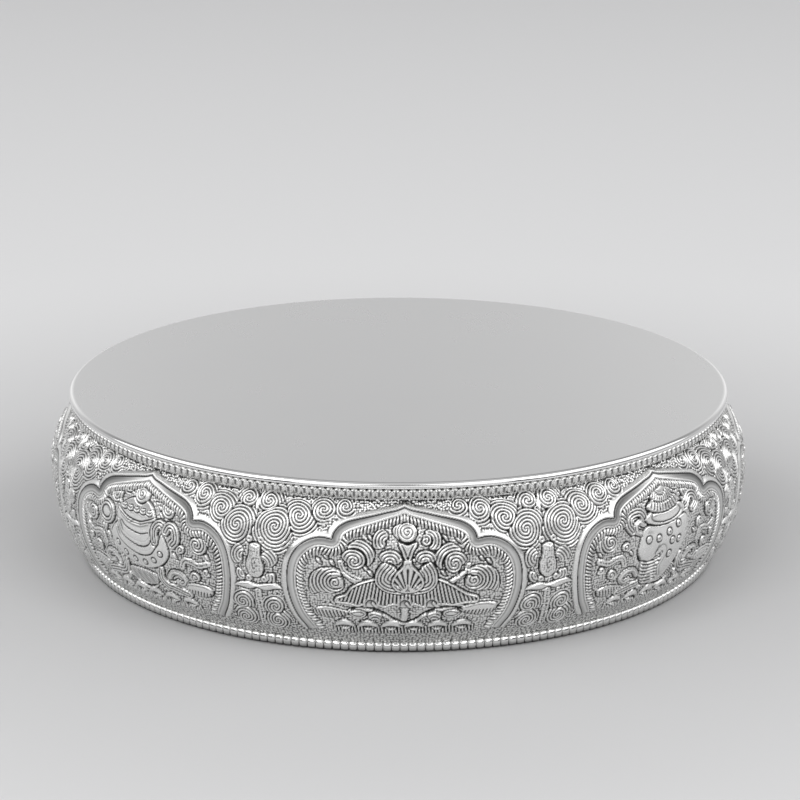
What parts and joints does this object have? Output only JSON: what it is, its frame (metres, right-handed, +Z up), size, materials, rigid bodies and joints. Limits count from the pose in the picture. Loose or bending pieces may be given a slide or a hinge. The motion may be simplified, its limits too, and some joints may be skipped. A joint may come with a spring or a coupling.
{
  "type": "mandala offering plate",
  "caption": "Round offering plate in silver: a flat plain top on a bulged, chased drum wall of cusped arch panels, edged by bead wires at the rim and foot.",
  "frame": {"origin": "centre of the plane that the foot wire stands on", "axes": "+Z up along the plate's axis; -Y out of the front panel, +X to the right of it"},
  "size_m": [0.12, 0.12, 0.0285],
  "materials": {
    "plate_silver": "satin silver",
    "wire_silver": "polished silver",
    "chased_silver": "chased and polished silver"
  },
  "bodies": {
    "root": {"top_plate": "plate_silver", "rim_bead_wire": "wire_silver", "side_wall": "chased_silver", "foot_bead_wire": "wire_silver"}
  },
  "joints": []
}
